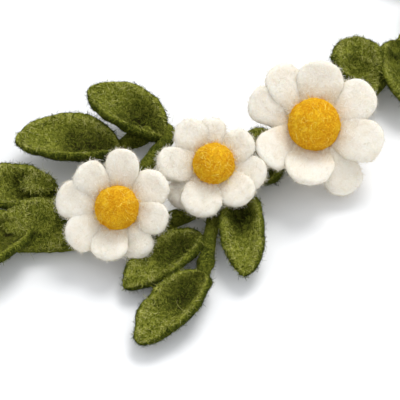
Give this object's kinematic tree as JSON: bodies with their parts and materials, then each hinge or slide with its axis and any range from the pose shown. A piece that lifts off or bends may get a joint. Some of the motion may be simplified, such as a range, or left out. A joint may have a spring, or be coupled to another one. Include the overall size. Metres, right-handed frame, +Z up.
{
  "type": "felt flower wreath",
  "caption": "Ring wreath of wool felt: a slim wrapped green vine that carries thick-petalled white daisies with yellow felted balls, cupped green leaves and leafy sprigs.",
  "frame": {"origin": "on the surface that the wreath lies on, under the middle of its whole outline", "axes": "+Z up out of the surface; the three large daisies stand along the -Y side, and -Y faces the viewer"},
  "size_m": [0.3596, 0.3754, 0.0343],
  "materials": {
    "white_felt": "thick warm white wool felt with soft edges",
    "yellow_felt": "dense golden yellow felted wool",
    "leaf_felt": "hairy olive green wool felt, mixed from darker and lighter strands",
    "vine_felt": "dark olive green wool wrapped and felted round the ring and the stems"
  },
  "bodies": {
    "root": {"vine": "vine_felt", "sprig_a_stem": "vine_felt", "sprig_b_stem": "vine_felt", "daisy_1_centre": "yellow_felt", "daisy_1_petals": "white_felt", "daisy_2_centre": "yellow_felt", "daisy_2_petals": "white_felt", "daisy_3_centre": "yellow_felt", "daisy_3_petals": "white_felt", "daisy_4_centre": "yellow_felt", "daisy_4_petals": "white_felt", "daisy_5_centre": "yellow_felt", "daisy_5_petals": "white_felt", "daisy_6_centre": "yellow_felt", "daisy_6_petals": "white_felt", "daisy_7_centre": "yellow_felt", "daisy_7_petals": "white_felt", "daisy_8_centre": "yellow_felt", "daisy_8_petals": "white_felt", "daisy_9_centre": "yellow_felt", "daisy_9_petals": "white_felt", "daisy_10_centre": "yellow_felt", "daisy_10_petals": "white_felt", "leaf_a1": "leaf_felt", "leaf_a2": "leaf_felt", "leaf_b1": "leaf_felt", "leaf_b2": "leaf_felt", "leaf_b3": "leaf_felt", "leaf_l1": "leaf_felt", "leaf_l2": "leaf_felt", "leaf_l3": "leaf_felt", "leaf_l4": "leaf_felt", "leaf_m1": "leaf_felt", "leaf_r1": "leaf_felt", "leaf_r2": "leaf_felt", "leaf_r3": "leaf_felt", "leaf_out_1": "leaf_felt", "leaf_in_1": "leaf_felt", "leaf_back_1": "leaf_felt", "leaf_out_2": "leaf_felt", "leaf_in_2": "leaf_felt", "leaf_back_2": "leaf_felt", "leaf_out_3": "leaf_felt", "leaf_in_3": "leaf_felt", "leaf_back_3": "leaf_felt", "leaf_out_4": "leaf_felt", "leaf_in_4": "leaf_felt", "leaf_back_4": "leaf_felt", "leaf_out_5": "leaf_felt", "leaf_in_5": "leaf_felt", "leaf_back_5": "leaf_felt", "leaf_out_6": "leaf_felt", "leaf_in_6": "leaf_felt", "leaf_back_6": "leaf_felt", "leaf_out_7": "leaf_felt", "leaf_in_7": "leaf_felt", "leaf_back_7": "leaf_felt", "leaf_out_8": "leaf_felt", "leaf_in_8": "leaf_felt", "leaf_back_8": "leaf_felt"}
  },
  "joints": []
}
